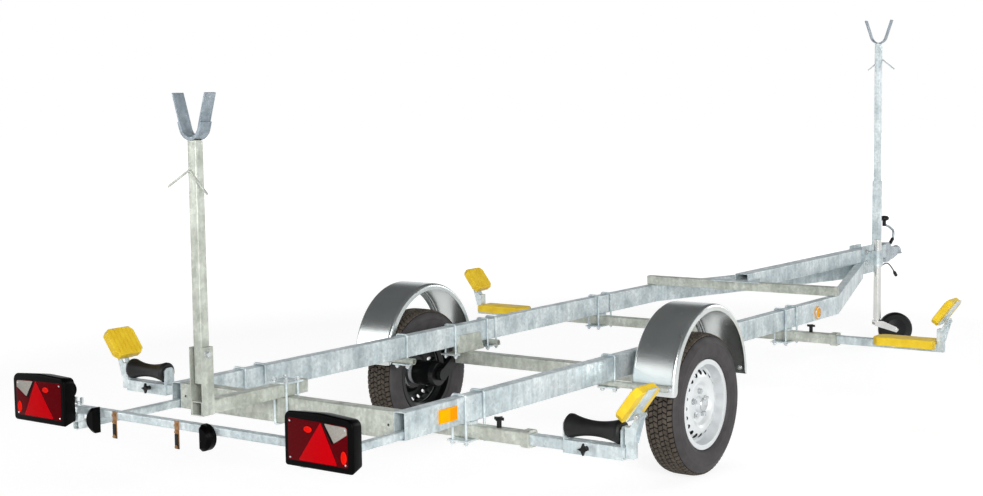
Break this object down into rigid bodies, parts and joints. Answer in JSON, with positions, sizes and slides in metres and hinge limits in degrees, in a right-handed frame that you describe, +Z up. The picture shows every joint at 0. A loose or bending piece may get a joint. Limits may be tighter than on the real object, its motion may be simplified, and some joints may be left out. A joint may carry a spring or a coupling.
{
  "type": "boat trailer",
  "caption": "Galvanised single axle trailer for a twin hulled boat, with sliding hull supports, mast posts, light board and jockey wheel.",
  "frame": {"origin": "on the ground, below the middle of the whole trailer's bounding box", "axes": "+X forward to the coupling, +Y to the trailer's left, +Z up"},
  "size_m": [6.642, 2.8852, 2.104],
  "materials": {
    "galvanised": "galvanised",
    "fork_steel": "satin",
    "zinc_plate": "zinc plated",
    "bracket_black": "galvanised",
    "rim_silver": "silver lacquer",
    "tyre_rubber": "matt",
    "roller_rubber": "matt",
    "pad_yellow": "moulded",
    "cable_black": "matt",
    "knob_black": "moulded",
    "lens_red": "clear moulded",
    "reflector_amber": "clear moulded",
    "clip_copper": "passivated"
  },
  "bodies": {
    "chassis": {"side_rails": "galvanised", "drawbar_legs": "galvanised", "swing_arms": "galvanised", "fenders": "galvanised", "lighting_cable": "cable_black", "cable_plug": "cable_black", "fender_stays": "galvanised", "rear_crossmember": "galvanised", "front_crossbar": "galvanised", "drawbar_beam": "galvanised", "head_plates": "galvanised", "axle_beam": "galvanised", "beam_clamps": "galvanised", "rear_cross_beam": "galvanised", "front_cross_beam": "galvanised", "beam_knobs": "knob_black", "mast_foot": "galvanised", "coupling_head": "zinc_plate", "coupling_handle": "zinc_plate", "handle_knob": "knob_black", "jockey_clamp": "galvanised", "side_reflectors": "reflector_amber"},
    "wheel_left": {"tyre_left": "tyre_rubber", "rim_left": "rim_silver", "hub_left": "zinc_plate"},
    "wheel_right": {"tyre_right": "tyre_rubber", "rim_right": "rim_silver", "hub_right": "zinc_plate"},
    "rear_support_left": {"rear_arm_left": "galvanised", "rear_roller_bracket_left": "bracket_black", "rear_roller_knob_left": "knob_black"},
    "rear_rocker_left": {"rear_tilt_plate_left": "galvanised", "rear_tilt_pad_left": "pad_yellow"},
    "rear_roller_body_left": {"rear_roller_left": "roller_rubber"},
    "rear_support_right": {"rear_arm_right": "galvanised", "rear_roller_bracket_right": "bracket_black", "rear_roller_knob_right": "knob_black"},
    "rear_rocker_right": {"rear_tilt_plate_right": "galvanised", "rear_tilt_pad_right": "pad_yellow"},
    "rear_roller_body_right": {"rear_roller_right": "roller_rubber"},
    "front_support_left": {"front_arm_left": "galvanised", "front_flat_pad_left": "pad_yellow"},
    "front_rocker_left": {"front_tilt_plate_left": "galvanised", "front_tilt_pad_left": "pad_yellow"},
    "front_support_right": {"front_arm_right": "galvanised", "front_flat_pad_right": "pad_yellow"},
    "front_rocker_right": {"front_tilt_plate_right": "galvanised", "front_tilt_pad_right": "pad_yellow"},
    "light_board": {"light_frame": "galvanised", "lamp_housings": "knob_black", "lamp_lenses": "lens_red", "plate_lamps": "knob_black", "plate_clips": "clip_copper"},
    "rear_mast": {"rear_mast_post": "galvanised", "rear_mast_fork": "fork_steel"},
    "front_mast": {"front_mast_post": "galvanised", "front_mast_fork": "fork_steel"},
    "jockey_column": {"jockey_leg": "zinc_plate"},
    "jockey_swivel": {"jockey_fork": "zinc_plate"},
    "jockey_roller": {"jockey_wheel": "knob_black"}
  },
  "joints": [
    {"name": "wheel_left_spin", "type": "hinge", "parent": "chassis", "child": "wheel_left", "pos_m": [-1.017, 0.7525, 0.307], "axis": [0, 1, 0], "continuous": true},
    {"name": "wheel_right_spin", "type": "hinge", "parent": "chassis", "child": "wheel_right", "pos_m": [-1.017, -0.7525, 0.307], "axis": [0, 1, 0], "continuous": true},
    {"name": "rear_support_left_slide", "type": "slide", "parent": "chassis", "child": "rear_support_left", "axis": [0, 1, 0], "range_m": [-0.16, 0.15]},
    {"name": "rear_rocker_left_tilt", "type": "hinge", "parent": "rear_support_left", "child": "rear_rocker_left", "pos_m": [-2.3635, 1.324, 0.54], "axis": [-1, 0, 0], "range_deg": [-4, 35]},
    {"name": "rear_roller_left_spin", "type": "hinge", "parent": "rear_support_left", "child": "rear_roller_body_left", "pos_m": [-2.3635, 1.147, 0.4773], "axis": [0, 1, 0], "continuous": true},
    {"name": "rear_support_right_slide", "type": "slide", "parent": "chassis", "child": "rear_support_right", "axis": [0, -1, 0], "range_m": [-0.115, 0.15]},
    {"name": "rear_rocker_right_tilt", "type": "hinge", "parent": "rear_support_right", "child": "rear_rocker_right", "pos_m": [-2.3635, -1.277, 0.54], "axis": [1, 0, 0], "range_deg": [-4, 35]},
    {"name": "rear_roller_right_spin", "type": "hinge", "parent": "rear_support_right", "child": "rear_roller_body_right", "pos_m": [-2.3635, -1.1, 0.4773], "axis": [0, 1, 0], "continuous": true},
    {"name": "front_support_left_slide", "type": "slide", "parent": "chassis", "child": "front_support_left", "axis": [0, 1, 0], "range_m": [-0.185, 0.15]},
    {"name": "front_rocker_left_tilt", "type": "hinge", "parent": "front_support_left", "child": "front_rocker_left", "pos_m": [0.348, 1.39, 0.54], "axis": [-1, 0, 0], "range_deg": [-4, 35]},
    {"name": "front_support_right_slide", "type": "slide", "parent": "chassis", "child": "front_support_right", "axis": [0, -1, 0], "range_m": [-0.185, 0.15]},
    {"name": "front_rocker_right_tilt", "type": "hinge", "parent": "front_support_right", "child": "front_rocker_right", "pos_m": [0.348, -1.39, 0.54], "axis": [1, 0, 0], "range_deg": [-4, 35]},
    {"name": "light_board_slide", "type": "slide", "parent": "chassis", "child": "light_board", "axis": [-1, 0, 0], "range_m": [-0.38, 0.25]},
    {"name": "rear_mast_height", "type": "slide", "parent": "chassis", "child": "rear_mast", "axis": [0, 0, 1], "range_m": [-0.045, 0.1]},
    {"name": "front_mast_height", "type": "slide", "parent": "chassis", "child": "front_mast", "axis": [0, 0, 1], "range_m": [-0.19, 0.12]},
    {"name": "jockey_height", "type": "slide", "parent": "chassis", "child": "jockey_column", "axis": [0, 0, 1], "range_m": [-0.06, 0.19]},
    {"name": "jockey_swivel", "type": "hinge", "parent": "jockey_column", "child": "jockey_swivel", "pos_m": [2.693, -0.104, 0.18], "axis": [0, 0, 1], "continuous": true},
    {"name": "jockey_wheel_spin", "type": "hinge", "parent": "jockey_swivel", "child": "jockey_roller", "pos_m": [2.76169, -0.19995, 0.108], "axis": [0.8131, 0.5821, 0], "continuous": true}
  ]
}
